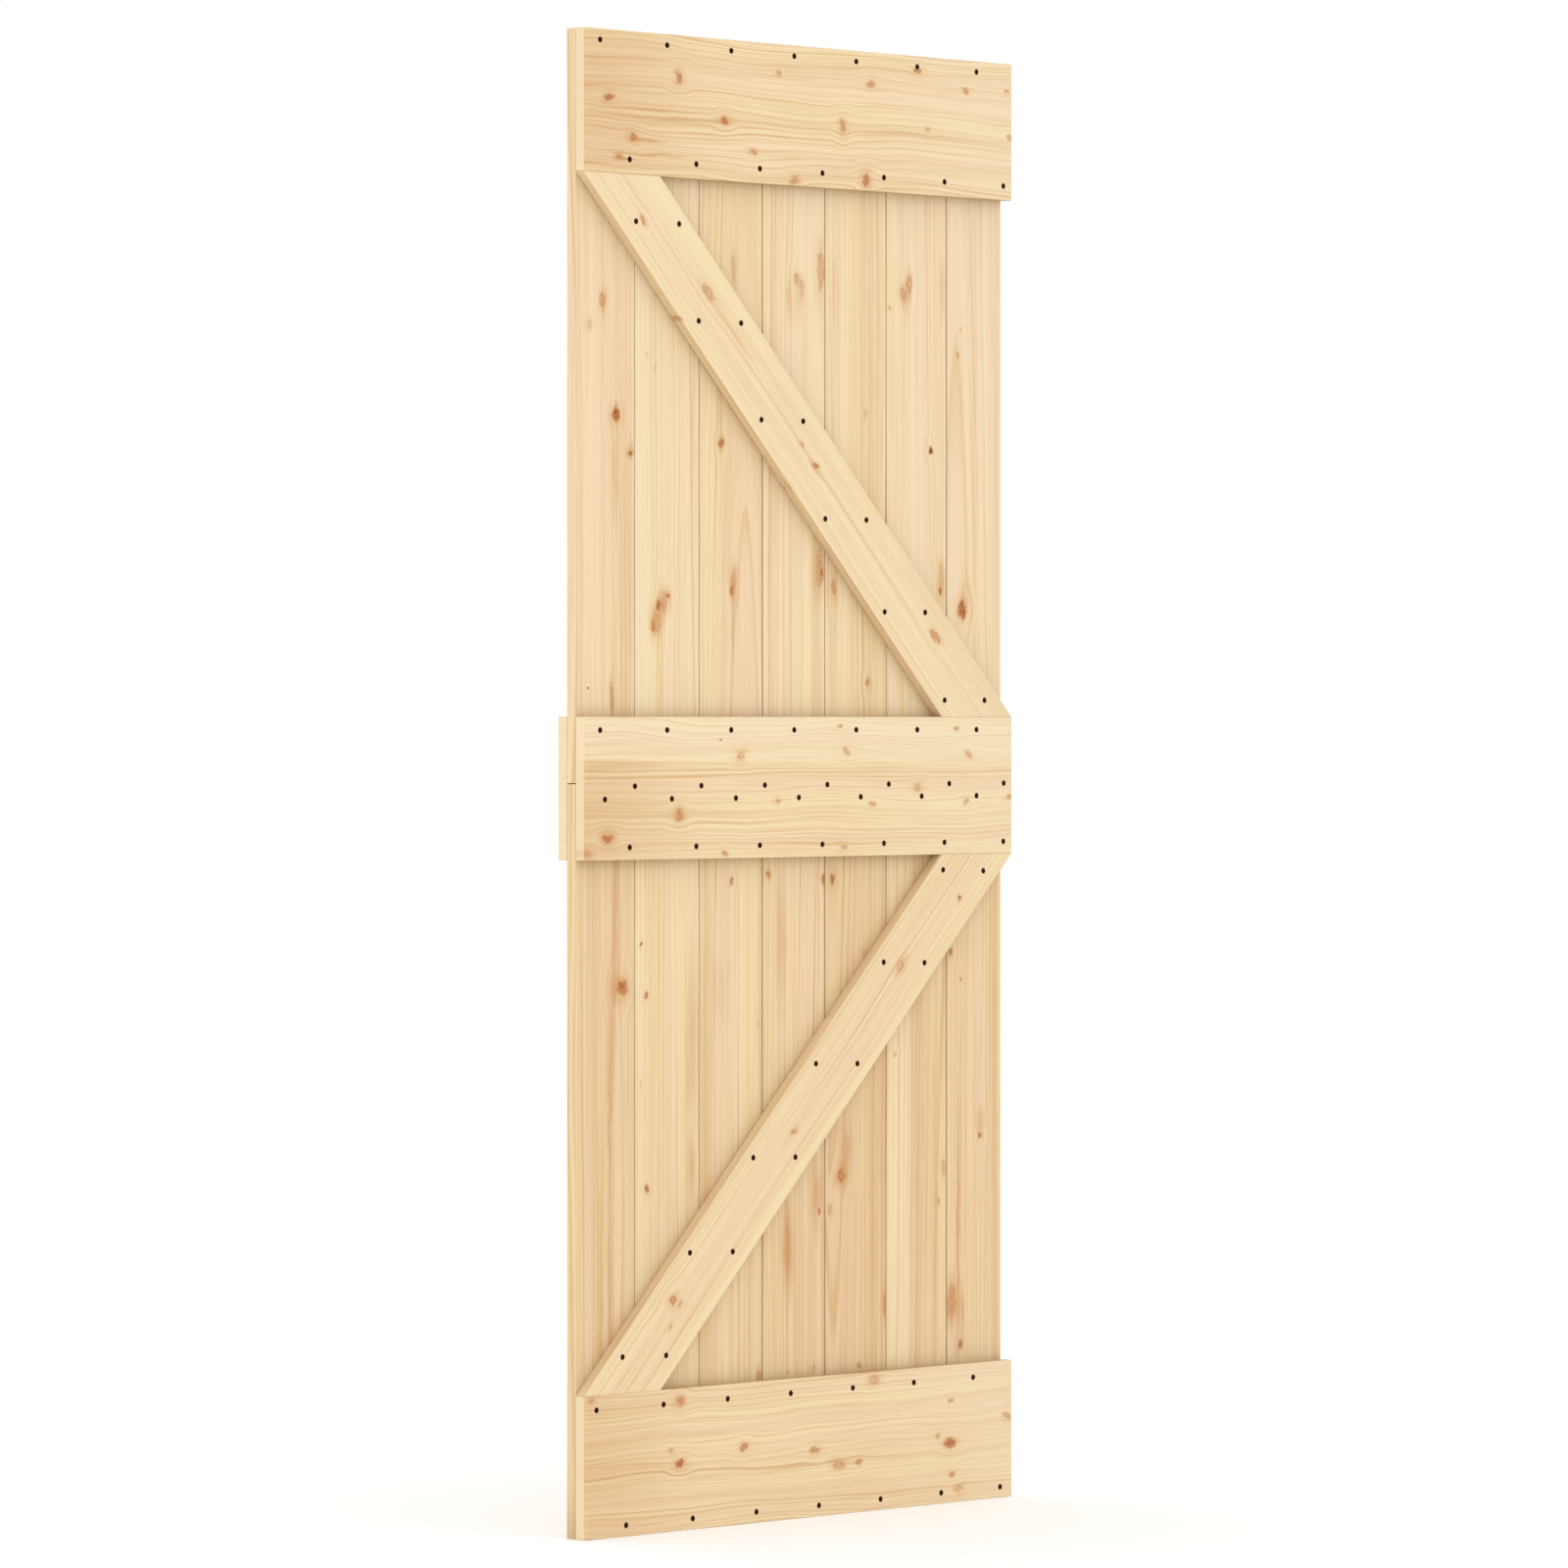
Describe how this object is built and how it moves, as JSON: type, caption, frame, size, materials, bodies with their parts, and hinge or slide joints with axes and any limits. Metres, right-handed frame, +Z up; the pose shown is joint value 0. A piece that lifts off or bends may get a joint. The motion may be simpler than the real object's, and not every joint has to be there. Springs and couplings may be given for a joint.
{
  "type": "barn door",
  "caption": "Sliding barn door slab: upright tongue-and-groove pine boards with cross rails, K-shaped diagonal braces and countersunk black screws.",
  "frame": {"origin": "bottom centre of the door's box, on the floor edge", "axes": "+X along the rails to the right as seen from the front, +Y from the front to the back, +Z up"},
  "size_m": [0.85, 0.054, 2.1],
  "materials": {
    "boards": "planed, untreated pine",
    "rails": "planed, untreated pine",
    "braces": "planed, untreated pine",
    "screws": "black phosphate"
  },
  "bodies": {
    "root": {"upper_board_1": "boards", "upper_board_2": "boards", "upper_board_3": "boards", "upper_board_4": "boards", "upper_board_5": "boards", "upper_board_6": "boards", "upper_board_7": "boards", "lower_board_1": "boards", "lower_board_2": "boards", "lower_board_3": "boards", "lower_board_4": "boards", "lower_board_5": "boards", "lower_board_6": "boards", "lower_board_7": "boards", "top_rail": "rails", "middle_rail": "rails", "bottom_rail": "rails", "back_rail": "rails", "upper_brace": "braces", "lower_brace": "braces", "top_rail_screws": "screws", "middle_rail_screws": "screws", "bottom_rail_screws": "screws", "upper_brace_screws": "screws", "lower_brace_screws": "screws"}
  },
  "joints": []
}
